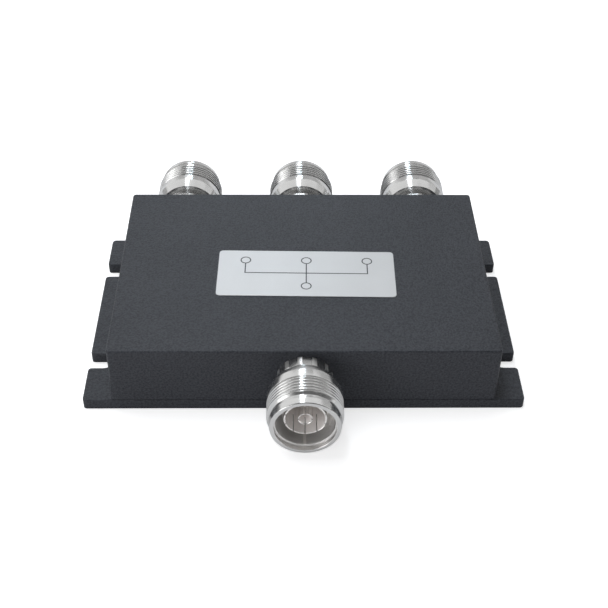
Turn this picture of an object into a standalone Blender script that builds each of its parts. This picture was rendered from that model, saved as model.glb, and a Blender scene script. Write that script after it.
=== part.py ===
"""Radio-frequency power splitter: one input jack, three output jacks, a milled housing on a slotted base plate.

Metres, +Z up. The origin is at the middle of the base plate's underside. The input jack faces -Y and the
output jacks face +Y. Heights along a jack are measured outward from the housing wall that it is screwed into.
"""

import math

import bmesh
import bpy
from mathutils import Matrix

MM = 0.001

# Clearances
FIT_GAP = 0.3 * MM
FILM_GAP = 0.05 * MM

# Housing
HOUSING_WIDTH = 102 * MM
HOUSING_LENGTH = 70.4 * MM
HOUSING_TOP = 20.5 * MM
HOUSING_CORNER_RADIUS = 0.9 * MM
HOUSING_EDGE_ROUND = 0.35 * MM
HOUSING_ROOF = 2 * MM
CAVITY_CORNER_RADIUS = 4 * MM

# Base plate: an ear on each side with two open mounting slots
PLATE_THICKNESS = 3.1 * MM
PLATE_CORNER_RADIUS = 1 * MM
PLATE_EDGE_ROUND = 0.25 * MM
EAR_REACH = 7.9 * MM
SLOT_WIDTH = 5.4 * MM
SLOT_SPACING = 39.8 * MM
SLOT_LAND = 1.2 * MM
SLOT_LIP_RADIUS = 0.9 * MM

# Label
LABEL_WIDTH = 49.1 * MM
LABEL_HEIGHT = 19.8 * MM
LABEL_THICKNESS = 0.15 * MM
LABEL_CORNER_RADIUS = 1.1 * MM
LABEL_SHIFT_X = 0.8 * MM
LABEL_SHIFT_Y = -3.3 * MM
LABEL_TURN = math.radians(-1.0)

# Ports: the outer output jacks keep their distance from the housing's sides
OUTPUT_COUNT = 3
OUTPUT_SIDE_DISTANCE = 16 * MM
PORT_AXIS_HEIGHT = 11.6 * MM
BODY_CLOCKING = math.radians(9.4)

# Jack body, outside: lengths from the wall outward
WRENCH_LENGTH = 3.2 * MM
WRENCH_CHAMFER = 0.9 * MM
NECK_LENGTH = 1.5 * MM
COLLAR_CONE_LENGTH = 2.7 * MM
COLLAR_LENGTH = 1.2 * MM
RELIEF_LENGTH = 0.8 * MM
THREAD_LENGTH = 5.5 * MM
GROOVE_LENGTH = 1.6 * MM
PILOT_LENGTH = 2 * MM

# Jack body, outside: radii and steps
THREAD_RADIUS = 9.9 * MM
PILOT_STEP = 0.15 * MM
PILOT_TAPER = 0.65 * MM
GROOVE_STEP = 0.65 * MM
RELIEF_STEP = 0.7 * MM
COLLAR_TAPER = 1.05 * MM
WRENCH_FLATS = 12
WRENCH_LAND = 0.43 * MM
NECK_STEP = 0.65 * MM

# Jack body, inside
SHELL_WALL = 2.35 * MM
MOUTH_STEP = 0.35 * MM
MOUTH_DEPTH = 1.6 * MM
CONTACT_SEAT_DEPTH = 3 * MM
INSULATOR_LENGTH = 4 * MM
TAIL_WALL = 1.8 * MM
TAIL_BORE_RADIUS = 3.5 * MM

# Spring contact of the outer line
OUTER_CONTACT_BORE = 5 * MM
OUTER_CONTACT_WALL = 0.5 * MM
OUTER_CONTACT_FLANGE = 1.2 * MM
OUTER_CONTACT_RECESS = 3.2 * MM
FINGER_LENGTH = 6.4 * MM
FINGER_ROOT = 0.5 * MM
FINGER_SLOT_WIDTH = 0.35 * MM
FINGER_COUNT = 10

# Centre contact
SOCKET_RADIUS = 1.95 * MM
SOCKET_BORE_RADIUS = 1.35 * MM
SOCKET_SLOT_LENGTH = 4.6 * MM
SOCKET_SLOT_WIDTH = 0.3 * MM
SOCKET_ROOT = 1 * MM
SOCKET_SLOTS = 4
PIN_RADIUS = 1.52 * MM
FORK_DEPTH = 3.5 * MM
FORK_ROOT = 1 * MM

# Seals
PANEL_SEAL_CORD = 1 * MM
COVER_SEAL_WIDTH = 1.1 * MM
COVER_SEAL_HEIGHT = 1 * MM
SEAL_LAND = 0.4 * MM

# Stripline
STRIP_THICKNESS = 1.2 * MM
TONGUE_WIDTH = 4 * MM
TONGUE_LENGTH = 5 * MM
TRUNK_STEPS = ((14 * MM, 9 * MM), (24 * MM, 10 * MM), (36 * MM, 10 * MM))
BAR_DEPTH = 9 * MM
BAR_CORNER_RADIUS = 2.5 * MM
ARM_WIDTH = 10 * MM

# Supports of the stripline
POST_RADIUS = 3.4 * MM
SPIGOT_RADIUS = 1.5 * MM

# Cover screws
SCREW_RADIUS = 1.15 * MM
SCREW_HEAD_RADIUS = 2.35 * MM
SCREW_HEAD_RECESS = 0.15 * MM
SCREW_LENGTH = 8.5 * MM
SCREW_TIP_ROOM = 1.5 * MM
SCREW_EDGE_LAND = 0.7 * MM
SCREW_KEY_SIDES = 6
SCREW_KEY_RADIUS = 1 * MM
SCREW_KEY_DEPTH = 0.9 * MM

# Facets round a full turn, and along a rounded corner
BODY_STEPS = 24
CONTACT_STEPS = 30
SOCKET_STEPS = 16
SMALL_STEPS = 12
SEAL_STEPS = 20
SEAL_CORD_STEPS = 6
ARC_STEPS = 4
SHARP_ANGLE = math.radians(35)

# Points nearer than this are one point, and outlines keep to a grid of a tenth of a micron
SAME_POINT = 0.01 * MM
GRID_DIGITS = 7

# Distance between neighbouring output jacks
OUTPUT_SPACING = (HOUSING_WIDTH - 2 * OUTPUT_SIDE_DISTANCE) / (OUTPUT_COUNT - 1)

# Heights along a jack
COLLAR_BACK = WRENCH_LENGTH + NECK_LENGTH
COLLAR_SHOULDER = COLLAR_BACK + COLLAR_CONE_LENGTH
RELIEF_BACK = COLLAR_SHOULDER + COLLAR_LENGTH
THREAD_BACK = RELIEF_BACK + RELIEF_LENGTH
THREAD_FRONT = THREAD_BACK + THREAD_LENGTH
PILOT_BACK = THREAD_FRONT + GROOVE_LENGTH
FACE_HEIGHT = PILOT_BACK + PILOT_LENGTH
CONTACT_TIP = FACE_HEIGHT - OUTER_CONTACT_RECESS
CONTACT_FLOOR = CONTACT_TIP - FINGER_LENGTH
SEAT_FLOOR = CONTACT_FLOOR - CONTACT_SEAT_DEPTH
INSULATOR_FLOOR = SEAT_FLOOR - INSULATOR_LENGTH - 2 * FIT_GAP

# Radii of a jack
PILOT_RADIUS = THREAD_RADIUS - PILOT_STEP
CAVITY_RADIUS = THREAD_RADIUS - SHELL_WALL
MOUTH_RADIUS = CAVITY_RADIUS + MOUTH_STEP
TAIL_RADIUS = TAIL_BORE_RADIUS + TAIL_WALL
PORT_HOLE_RADIUS = TAIL_RADIUS + FIT_GAP
SEAL_RECESS_RADIUS = PORT_HOLE_RADIUS + PANEL_SEAL_CORD + FIT_GAP
SEAL_RECESS_DEPTH = PANEL_SEAL_CORD + 2 * FIT_GAP
WRENCH_CORNER_RADIUS = (SEAL_RECESS_RADIUS + WRENCH_LAND) / math.cos(math.pi / WRENCH_FLATS)
NECK_RADIUS = WRENCH_CORNER_RADIUS - NECK_STEP

# Housing rim: from outside, edge land, screw hole, land, seal groove, land
SCREW_HOLE_RADIUS = SCREW_RADIUS + FIT_GAP
SCREW_MOUTH_RADIUS = SCREW_HEAD_RADIUS + SCREW_HEAD_RECESS + FIT_GAP * math.sqrt(2)
SCREW_INSET = SCREW_EDGE_LAND + SCREW_MOUTH_RADIUS
SEAL_GROOVE_WIDTH = COVER_SEAL_WIDTH + 2 * FIT_GAP
SEAL_INSET = SCREW_INSET + SCREW_HOLE_RADIUS + SEAL_LAND + SEAL_GROOVE_WIDTH / 2
WALL = SEAL_INSET + SEAL_GROOVE_WIDTH / 2 + SEAL_LAND
HOUSING_BOTTOM = PLATE_THICKNESS + FIT_GAP
CAVITY_TOP = HOUSING_TOP - HOUSING_ROOF

# Ends of the inner conductors, and of the stripline's half length
PIN_END = -WALL - FORK_DEPTH - FORK_ROOT
STRIP_END = HOUSING_LENGTH / 2 + PIN_END + FORK_DEPTH - FIT_GAP


def remove_everything():
    for obj in list(bpy.data.objects):
        bpy.data.objects.remove(obj, do_unlink=True)


def new_collection(name):
    collection = bpy.data.collections.new(name)
    bpy.context.scene.collection.children.link(collection)
    return collection


def new_material(name, colour, roughness, metallic):
    material = bpy.data.materials.new(name)
    material.use_nodes = True
    shader = material.node_tree.nodes["Principled BSDF"]
    shader.inputs["Base Color"].default_value = (*colour, 1)
    shader.inputs["Roughness"].default_value = roughness
    shader.inputs["Metallic"].default_value = metallic
    return material


def new_part(name, mesh, material, parent=None):
    obj = bpy.data.objects.new(name, mesh)
    obj.data.materials.clear()
    obj.data.materials.append(material)
    obj.parent = parent
    PARTS.objects.link(obj)
    return obj


def finish(obj, name, material):
    """Make a blank the finished piece: its name, material, shading and collection."""
    smooth(obj.data)
    obj.name = name
    obj.data.name = name
    obj.data.materials.append(material)
    CUTTERS.objects.unlink(obj)
    PARTS.objects.link(obj)


def new_blank(name, mesh):
    """A shape that is still being worked on, or that will cut another."""
    obj = bpy.data.objects.new(name, mesh)
    CUTTERS.objects.link(obj)
    return obj


def as_cutter(obj):
    obj.hide_render = True
    obj.display_type = "WIRE"
    return obj


def cut(obj, cutter):
    boolean = obj.modifiers.new(f"cut {cutter.name}", "BOOLEAN")
    boolean.operation = "DIFFERENCE"
    boolean.object = cutter


def evaluated_mesh(obj, name):
    bpy.context.view_layer.update()
    depsgraph = bpy.context.evaluated_depsgraph_get()
    mesh = bpy.data.meshes.new_from_object(obj.evaluated_get(depsgraph))
    mesh.name = name
    return mesh


def smooth(mesh):
    mesh.shade_smooth()
    mesh.set_sharp_from_angle(angle=SHARP_ANGLE)


def bake(obj, name, *cutters):
    """The finished mesh of a piece that is repeated, its blank and cutters removed."""
    mesh = evaluated_mesh(obj, name)
    mesh.transform(obj.matrix_world)
    smooth(mesh)
    for used in (obj, *cutters):
        bpy.data.objects.remove(used, do_unlink=True)
    return mesh


# Shapes

def turned(name, profile, steps, closed):
    """A turned shape about Z: the profile of (radius, height) points runs down its outer side."""
    mesh = bpy.data.meshes.new(name)
    count = len(profile)
    edges = [(i, i + 1) for i in range(count - 1)]
    if closed:
        edges.append((count - 1, 0))
    mesh.from_pydata([(radius, 0, height) for radius, height in profile], edges, [])
    obj = new_blank(name, mesh)
    screw = obj.modifiers.new("turn", "SCREW")
    screw.angle = math.tau
    screw.steps = steps
    screw.render_steps = steps
    screw.use_merge_vertices = True
    screw.merge_threshold = SAME_POINT
    return obj


def rounded_outline(corners):
    """Outline through (x, y, radius) corners, each radius drawn as an arc."""
    points = []
    for index, (x, y, radius) in enumerate(corners):
        before = corners[index - 1]
        after = corners[(index + 1) % len(corners)]
        if radius == 0:
            points.append((x, y))
            continue
        start = math.atan2(before[1] - y, before[0] - x)
        end = math.atan2(after[1] - y, after[0] - x)
        opening = (end - start + math.pi) % math.tau - math.pi
        reach = radius / abs(math.sin(opening / 2))
        middle = start + opening / 2
        centre_x = x + reach * math.cos(middle)
        centre_y = y + reach * math.sin(middle)
        sweep = math.copysign(math.pi - abs(opening), opening)
        first = middle + math.pi + sweep / 2
        for step in range(ARC_STEPS + 1):
            angle = first - sweep * step / ARC_STEPS
            points.append((centre_x + radius * math.cos(angle), centre_y + radius * math.sin(angle)))
    points = [(round(x, GRID_DIGITS), round(y, GRID_DIGITS)) for x, y in points]
    return [point for index, point in enumerate(points) if math.dist(point, points[index - 1]) > SAME_POINT]


def rectangle(width, length, radius):
    x = width / 2
    y = length / 2
    return rounded_outline([(x, -y, radius), (x, y, radius), (-x, y, radius), (-x, -y, radius)])


def flat_shape(name, outline, bottom, top):
    """A closed solid between two heights, from a flat outline."""
    curve = bpy.data.curves.new(name, "CURVE")
    curve.dimensions = "2D"
    curve.fill_mode = "BOTH"
    curve.extrude = (top - bottom) / 2
    spline = curve.splines.new("POLY")
    spline.points.add(len(outline) - 1)
    for point, (x, y) in zip(spline.points, outline):
        point.co = (x, y, 0, 1)
    spline.use_cyclic_u = True
    guide = new_blank(name, curve)
    mesh = evaluated_mesh(guide, name)
    bpy.data.objects.remove(guide, do_unlink=True)
    bpy.data.curves.remove(curve)
    shape = bmesh.new()
    shape.from_mesh(mesh)
    bmesh.ops.remove_doubles(shape, verts=shape.verts, dist=SAME_POINT)
    ends = [face for face in shape.faces if len({round(vert.co.z, GRID_DIGITS) for vert in face.verts}) == 1]
    bmesh.ops.delete(shape, geom=ends, context="FACES")
    bmesh.ops.holes_fill(shape, edges=shape.edges)
    bmesh.ops.translate(shape, verts=shape.verts, vec=(0, 0, (bottom + top) / 2))
    bmesh.ops.recalc_face_normals(shape, faces=shape.faces)
    shape.to_mesh(mesh)
    shape.free()
    return new_blank(name, mesh)


def round_top_edges(obj, width, segments):
    """A small round on the edges of the top face only."""
    mesh = obj.data
    top = max(vertex.co.z for vertex in mesh.vertices)
    weights = mesh.attributes.new("bevel_weight_edge", "FLOAT", "EDGE")
    for edge in mesh.edges:
        on_top = all(abs(mesh.vertices[index].co.z - top) < FILM_GAP for index in edge.vertices)
        weights.data[edge.index].value = 1.0 if on_top else 0.0
    bevel = obj.modifiers.new("edge round", "BEVEL")
    bevel.limit_method = "WEIGHT"
    bevel.width = width
    bevel.segments = segments


def boxes(name, placings):
    """Separate boxes in one mesh, each given by its size and its matrix."""
    mesh = bpy.data.meshes.new(name)
    shape = bmesh.new()
    for size, matrix in placings:
        bmesh.ops.create_cube(shape, size=1, matrix=matrix @ Matrix.Diagonal((*size, 1)))
    shape.to_mesh(mesh)
    shape.free()
    return new_blank(name, mesh)


def radial_slots(name, count, width, inner, outer, bottom, top):
    """Thin boxes round Z, one for each slot of a split sleeve."""
    size = (outer - inner, width, top - bottom)
    centre = Matrix.Translation(((inner + outer) / 2, 0, (bottom + top) / 2))
    placings = [
        (size, Matrix.Rotation(math.pi / 2 + math.tau * index / count, 4, "Z") @ centre)
        for index in range(count)
    ]
    return boxes(name, placings)


def prism(name, sides, corner_radius, bottom, top):
    """A regular prism about Z with a corner on +Y."""
    mesh = bpy.data.meshes.new(name)
    shape = bmesh.new()
    bmesh.ops.create_cone(
        shape, cap_ends=True, segments=sides, radius1=corner_radius, radius2=corner_radius,
        depth=top - bottom, matrix=Matrix.Translation((0, 0, (bottom + top) / 2)),
    )
    shape.to_mesh(mesh)
    shape.free()
    return new_blank(name, mesh)


# Jacks

def jack_body_mesh():
    wrench_blank = WRENCH_CORNER_RADIUS + FIT_GAP
    profile = [
        (PILOT_RADIUS - PILOT_TAPER, FACE_HEIGHT),
        (PILOT_RADIUS, PILOT_BACK),
        (PILOT_RADIUS - GROOVE_STEP, PILOT_BACK),
        (PILOT_RADIUS - GROOVE_STEP, THREAD_FRONT),
        (THREAD_RADIUS, THREAD_FRONT),
        (THREAD_RADIUS, THREAD_BACK),
        (THREAD_RADIUS - RELIEF_STEP, THREAD_BACK),
        (THREAD_RADIUS - RELIEF_STEP, RELIEF_BACK),
        (PILOT_RADIUS, RELIEF_BACK),
        (PILOT_RADIUS, COLLAR_SHOULDER),
        (PILOT_RADIUS - COLLAR_TAPER, COLLAR_BACK),
        (NECK_RADIUS, COLLAR_BACK),
        (NECK_RADIUS, WRENCH_LENGTH),
        (wrench_blank, WRENCH_LENGTH - WRENCH_CHAMFER),
        (wrench_blank, 0),
        (TAIL_RADIUS, 0),
        (TAIL_RADIUS, -WALL),
        (TAIL_BORE_RADIUS, -WALL),
        (TAIL_BORE_RADIUS, INSULATOR_FLOOR),
        (OUTER_CONTACT_BORE, INSULATOR_FLOOR),
        (OUTER_CONTACT_BORE, SEAT_FLOOR),
        (OUTER_CONTACT_BORE + OUTER_CONTACT_FLANGE + FIT_GAP, SEAT_FLOOR),
        (OUTER_CONTACT_BORE + OUTER_CONTACT_FLANGE + FIT_GAP, CONTACT_FLOOR),
        (CAVITY_RADIUS, CONTACT_FLOOR),
        (CAVITY_RADIUS, FACE_HEIGHT - MOUTH_DEPTH),
        (MOUTH_RADIUS, FACE_HEIGHT - MOUTH_DEPTH),
        (MOUTH_RADIUS, FACE_HEIGHT),
    ]
    body = turned("jack body", profile, BODY_STEPS, closed=True)
    below = -FIT_GAP
    above = WRENCH_LENGTH + NECK_LENGTH / 2
    ring = prism("wrench cutter", BODY_STEPS, THREAD_RADIUS, below, above)
    core = prism("wrench core", WRENCH_FLATS, WRENCH_CORNER_RADIUS, below - FIT_GAP, above + FIT_GAP)
    cut(as_cutter(ring), as_cutter(core))
    cut(body, ring)
    return bake(body, "jack body", ring, core)


def outer_contact_mesh():
    outer = OUTER_CONTACT_BORE + OUTER_CONTACT_WALL
    flange = OUTER_CONTACT_BORE + OUTER_CONTACT_FLANGE
    profile = [
        (outer, CONTACT_TIP),
        (outer, CONTACT_FLOOR),
        (flange, CONTACT_FLOOR),
        (flange, SEAT_FLOOR + FIT_GAP),
        (OUTER_CONTACT_BORE, SEAT_FLOOR + FIT_GAP),
        (OUTER_CONTACT_BORE, CONTACT_TIP),
    ]
    sleeve = turned("outer contact", profile, CONTACT_STEPS, closed=True)
    slots = radial_slots(
        "finger slots", FINGER_COUNT, FINGER_SLOT_WIDTH, OUTER_CONTACT_BORE - FIT_GAP, outer + FIT_GAP,
        CONTACT_FLOOR + FINGER_ROOT, CONTACT_TIP + FIT_GAP,
    )
    cut(sleeve, as_cutter(slots))
    return bake(sleeve, "outer contact", slots)


def centre_contact_mesh():
    bore_bottom = CONTACT_TIP - SOCKET_SLOT_LENGTH - SOCKET_ROOT
    profile = [
        (0, bore_bottom - SOCKET_BORE_RADIUS / 2),
        (SOCKET_BORE_RADIUS, bore_bottom),
        (SOCKET_BORE_RADIUS, CONTACT_TIP),
        (SOCKET_RADIUS, CONTACT_TIP),
        (SOCKET_RADIUS, SEAT_FLOOR),
        (PIN_RADIUS, SEAT_FLOOR),
        (PIN_RADIUS, PIN_END),
        (0, PIN_END),
    ]
    contact = turned("centre contact", profile, SOCKET_STEPS, closed=False)
    slots = radial_slots(
        "socket slots", SOCKET_SLOTS, SOCKET_SLOT_WIDTH, SOCKET_BORE_RADIUS / 2, SOCKET_RADIUS + FIT_GAP,
        CONTACT_TIP - SOCKET_SLOT_LENGTH, CONTACT_TIP + FIT_GAP,
    )
    cut(contact, as_cutter(slots))
    fork_size = (2 * (PIN_RADIUS + FIT_GAP), STRIP_THICKNESS + 2 * FIT_GAP, FORK_DEPTH + FIT_GAP)
    fork_height = PIN_END + (FORK_DEPTH - FIT_GAP) / 2
    fork = boxes("fork slot", [(fork_size, Matrix.Translation((0, 0, fork_height)))])
    cut(contact, as_cutter(fork))
    return bake(contact, "centre contact", slots, fork)


def insulator_mesh():
    top = SEAT_FLOOR - FIT_GAP
    outer = OUTER_CONTACT_BORE - FIT_GAP
    inner = PIN_RADIUS + FIT_GAP
    profile = [(outer, top), (outer, top - INSULATOR_LENGTH), (inner, top - INSULATOR_LENGTH), (inner, top)]
    return bake(turned("insulator", profile, BODY_STEPS, closed=True), "insulator")


def panel_seal_mesh():
    """An O-ring in the recess round the port hole."""
    bpy.ops.mesh.primitive_torus_add(
        major_radius=PORT_HOLE_RADIUS + PANEL_SEAL_CORD / 2, minor_radius=PANEL_SEAL_CORD / 2,
        major_segments=SEAL_STEPS, minor_segments=SEAL_CORD_STEPS, location=(0, 0, -SEAL_RECESS_DEPTH / 2),
    )
    return bake(bpy.context.object, "panel seal")


def port_places():
    """Name, x and side of each port: -1 at the front, +1 at the back."""
    places = [("input_jack", 0.0, -1)]
    for index in range(OUTPUT_COUNT):
        x = (index - (OUTPUT_COUNT - 1) / 2) * OUTPUT_SPACING
        places.append((f"output_jack_{index + 1}", x, 1))
    return places


def port_frame(name, x, side):
    """An empty at the wall on the port's axis, its +Z outward."""
    empty = bpy.data.objects.new(f"{name}_axis", None)
    empty.location = (x, side * HOUSING_LENGTH / 2, PORT_AXIS_HEIGHT)
    empty.rotation_euler = (math.pi / 2, 0, 0 if side < 0 else math.pi)
    PARTS.objects.link(empty)
    return empty


def build_jacks(frames):
    meshes = {
        "body": (jack_body_mesh(), new_material("plated metal", (0.72, 0.72, 0.71), 0.2, 1)),
        "outer_contact": (outer_contact_mesh(), new_material("plated spring metal", (0.8, 0.79, 0.76), 0.2, 1)),
        "centre_contact": (centre_contact_mesh(), new_material("silvered brass", (0.82, 0.8, 0.75), 0.2, 1)),
        "insulator": (insulator_mesh(), new_material("jack ptfe", (0.82, 0.81, 0.78), 0.5, 0)),
        "panel_seal": (panel_seal_mesh(), new_material("panel seal rubber", (0.03, 0.03, 0.03), 0.7, 0)),
    }
    for name, frame in frames.items():
        for piece, (mesh, material) in meshes.items():
            obj = new_part(f"{name}_{piece}", mesh, material, frame)
            if piece == "body":
                obj.rotation_euler.z = BODY_CLOCKING


# Housing and base plate

def port_hole_mesh():
    profile = [
        (0, FIT_GAP),
        (SEAL_RECESS_RADIUS, FIT_GAP),
        (SEAL_RECESS_RADIUS, -SEAL_RECESS_DEPTH),
        (PORT_HOLE_RADIUS, -SEAL_RECESS_DEPTH),
        (PORT_HOLE_RADIUS, -WALL - FIT_GAP),
        (0, -WALL - FIT_GAP),
    ]
    return bake(turned("port hole", profile, BODY_STEPS, closed=False), "port hole")


def screw_places():
    """Centres of the cover screws: four corners, the middle of each side, and between the ports."""
    side_x = HOUSING_WIDTH / 2 - SCREW_INSET
    end_y = HOUSING_LENGTH / 2 - SCREW_INSET
    between = OUTPUT_SPACING / 2
    places = [(sign_x * side_x, y) for sign_x in (-1, 1) for y in (-end_y, 0, end_y)]
    places += [(sign_x * between, sign_y * end_y) for sign_y in (-1, 1) for sign_x in (-1, 1)]
    return places


def at_screws(name, master):
    """Copies of a small solid at every screw place, in one mesh."""
    mesh = evaluated_mesh(master, name)
    bpy.data.objects.remove(master, do_unlink=True)
    joined = bmesh.new()
    for x, y in screw_places():
        copy = mesh.copy()
        copy.transform(Matrix.Translation((x, y, 0)))
        joined.from_mesh(copy)
        bpy.data.meshes.remove(copy)
    joined.to_mesh(mesh)
    joined.free()
    return as_cutter(new_blank(name, mesh))


def seal_outline(grow):
    """The cover seal's middle line, grown outward by a distance."""
    inset = SEAL_INSET - grow
    radius = CAVITY_CORNER_RADIUS + WALL - inset
    return rectangle(HOUSING_WIDTH - 2 * inset, HOUSING_LENGTH - 2 * inset, radius)


def ring_shape(name, half_width, bottom, top):
    """The cover seal, or its groove when wider and deeper."""
    ring = flat_shape(name, seal_outline(half_width), bottom, top)
    core = flat_shape(f"{name} core", seal_outline(-half_width), bottom - FIT_GAP, top + FIT_GAP)
    cut(ring, as_cutter(core))
    return ring


def build_housing(frames):
    outline = rectangle(HOUSING_WIDTH, HOUSING_LENGTH, HOUSING_CORNER_RADIUS)
    shell = flat_shape("housing blank", outline, HOUSING_BOTTOM, HOUSING_TOP)
    round_top_edges(shell, HOUSING_EDGE_ROUND, 2)
    cavity = rectangle(HOUSING_WIDTH - 2 * WALL, HOUSING_LENGTH - 2 * WALL, CAVITY_CORNER_RADIUS)
    cut(shell, as_cutter(flat_shape("line cavity", cavity, HOUSING_BOTTOM - FIT_GAP, CAVITY_TOP)))
    groove_top = HOUSING_BOTTOM + COVER_SEAL_HEIGHT + FIT_GAP
    groove = ring_shape("seal groove", SEAL_GROOVE_WIDTH / 2, HOUSING_BOTTOM - FIT_GAP, groove_top)
    cut(shell, as_cutter(groove))
    hole = port_hole_mesh()
    for name, frame in frames.items():
        cutter = new_blank(f"{name} hole", hole)
        cutter.parent = frame
        cut(shell, as_cutter(cutter))
    hole_end = SCREW_LENGTH + SCREW_TIP_ROOM
    tapped = prism("tapped hole", SMALL_STEPS, SCREW_HOLE_RADIUS, HOUSING_BOTTOM - FIT_GAP, hole_end)
    cut(shell, at_screws("tapped holes", tapped))
    finish(shell, "housing", new_material("black housing paint", (0.05, 0.055, 0.06), 0.5, 0))


def plate_outline():
    """Half the plate's outline on the +X side, front to back, mirrored for the other side."""
    x = HOUSING_WIDTH / 2 + EAR_REACH
    y = HOUSING_LENGTH / 2
    slot_end = HOUSING_WIDTH / 2 + SLOT_LAND
    half_slot = SLOT_WIDTH / 2
    right = [(x, -y, PLATE_CORNER_RADIUS)]
    for centre in (-SLOT_SPACING / 2, SLOT_SPACING / 2):
        right.append((x, centre - half_slot, SLOT_LIP_RADIUS))
        right.append((slot_end, centre - half_slot, half_slot))
        right.append((slot_end, centre + half_slot, half_slot))
        right.append((x, centre + half_slot, SLOT_LIP_RADIUS))
    right.append((x, y, PLATE_CORNER_RADIUS))
    left = [(-px, py, radius) for px, py, radius in reversed(right)]
    return rounded_outline(right + left)


def build_base_plate():
    plate = flat_shape("plate blank", plate_outline(), 0, PLATE_THICKNESS)
    round_top_edges(plate, PLATE_EDGE_ROUND, 1)
    top = PLATE_THICKNESS + FIT_GAP
    profile = [
        (0, top),
        (SCREW_HOLE_RADIUS, top),
        (SCREW_HOLE_RADIUS, SCREW_MOUTH_RADIUS - SCREW_HOLE_RADIUS),
        (SCREW_MOUTH_RADIUS + FIT_GAP, -FIT_GAP),
        (0, -FIT_GAP),
    ]
    hole = turned("countersink", profile, SMALL_STEPS, closed=False)
    cut(plate, at_screws("countersunk holes", hole))
    finish(plate, "base_plate", new_material("black plate paint", (0.045, 0.048, 0.052), 0.5, 0))


def build_label():
    bottom = HOUSING_TOP + FILM_GAP
    outline = rectangle(LABEL_WIDTH, LABEL_HEIGHT, LABEL_CORNER_RADIUS)
    label = flat_shape("label blank", outline, bottom, bottom + LABEL_THICKNESS)
    label.location = (LABEL_SHIFT_X, LABEL_SHIFT_Y, 0)
    label.rotation_euler.z = LABEL_TURN
    finish(label, "label", new_material("label film", (0.6, 0.62, 0.64), 0.4, 0.2))


# Stripline, supports, seal and screws

def strip_outline():
    """Input tongue, widening trunk, cross bar, and one arm and tongue for each output."""
    front = -STRIP_END
    half_tongue = TONGUE_WIDTH / 2
    right = [(half_tongue, front, 0)]
    y = front + TONGUE_LENGTH
    right.append((half_tongue, y, 0))
    for width, length in TRUNK_STEPS:
        right.append((width / 2, y, 0))
        y += length
        right.append((width / 2, y, 0))
    bar_back = y + BAR_DEPTH
    outermost = (OUTPUT_COUNT - 1) / 2 * OUTPUT_SPACING
    right.append((outermost + ARM_WIDTH / 2, y, BAR_CORNER_RADIUS))
    centres = [x for name, x, side in reversed(port_places()) if side > 0]
    back = []
    for x in centres:
        arm_back = STRIP_END - TONGUE_LENGTH
        back.append((x + ARM_WIDTH / 2, bar_back, 0))
        back.append((x + ARM_WIDTH / 2, arm_back, 0))
        back.append((x + half_tongue, arm_back, 0))
        back.append((x + half_tongue, STRIP_END, 0))
        back.append((x - half_tongue, STRIP_END, 0))
        back.append((x - half_tongue, arm_back, 0))
        back.append((x - ARM_WIDTH / 2, arm_back, 0))
        back.append((x - ARM_WIDTH / 2, bar_back, 0))
    left = [(-px, py, radius) for px, py, radius in reversed(right)]
    corners = right + back[1:-1] + left
    return rounded_outline(corners)


def support_places():
    trunk_y = -STRIP_END + TONGUE_LENGTH + TRUNK_STEPS[0][1] + TRUNK_STEPS[1][1] / 2
    bar_y = -STRIP_END + TONGUE_LENGTH + sum(length for width, length in TRUNK_STEPS) + BAR_DEPTH / 2
    arm_x = (OUTPUT_COUNT - 1) / 2 * OUTPUT_SPACING
    return (
        ("trunk_support", 0.0, trunk_y),
        ("left_arm_support", -arm_x, bar_y),
        ("right_arm_support", arm_x, bar_y),
    )


def build_stripline():
    bottom = PORT_AXIS_HEIGHT - STRIP_THICKNESS / 2
    top = PORT_AXIS_HEIGHT + STRIP_THICKNESS / 2
    strip = flat_shape("strip blank", strip_outline(), bottom, top)
    for name, x, y in support_places():
        hole = prism(f"{name} hole", SMALL_STEPS, SPIGOT_RADIUS + FIT_GAP, bottom - FIT_GAP, top + FIT_GAP)
        hole.location = (x, y, 0)
        cut(strip, as_cutter(hole))
    finish(strip, "stripline", new_material("silvered strip", (0.8, 0.78, 0.72), 0.3, 1))


def build_supports():
    shoulder = PORT_AXIS_HEIGHT - STRIP_THICKNESS / 2 - FIT_GAP
    top = CAVITY_TOP - FIT_GAP
    profile = [
        (0, top),
        (SPIGOT_RADIUS, top),
        (SPIGOT_RADIUS, shoulder),
        (POST_RADIUS, shoulder),
        (POST_RADIUS, PLATE_THICKNESS + FIT_GAP),
        (0, PLATE_THICKNESS + FIT_GAP),
    ]
    mesh = bake(turned("support", profile, SMALL_STEPS, closed=False), "support")
    material = new_material("support ptfe", (0.85, 0.85, 0.83), 0.5, 0)
    for name, x, y in support_places():
        new_part(name, mesh, material).location = (x, y, 0)


def build_cover_seal():
    bottom = PLATE_THICKNESS + FIT_GAP
    seal = ring_shape("cover seal blank", COVER_SEAL_WIDTH / 2, bottom, bottom + COVER_SEAL_HEIGHT)
    finish(seal, "cover_seal", new_material("cover seal rubber", (0.02, 0.02, 0.02), 0.7, 0))


def build_cover_screws():
    head = SCREW_HEAD_RECESS
    neck = head + SCREW_HEAD_RADIUS - SCREW_RADIUS
    profile = [
        (0, SCREW_LENGTH),
        (SCREW_RADIUS, SCREW_LENGTH),
        (SCREW_RADIUS, neck),
        (SCREW_HEAD_RADIUS, head),
        (0, head),
    ]
    screw = turned("cover screw", profile, SMALL_STEPS, closed=False)
    key = prism("screw key", SCREW_KEY_SIDES, SCREW_KEY_RADIUS, -FIT_GAP, head + SCREW_KEY_DEPTH)
    cut(screw, as_cutter(key))
    mesh = bake(screw, "cover screw", key)
    material = new_material("screw steel", (0.35, 0.35, 0.36), 0.35, 1)
    for index, (x, y) in enumerate(screw_places(), start=1):
        new_part(f"cover_screw_{index}", mesh, material).location = (x, y, 0)


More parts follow.
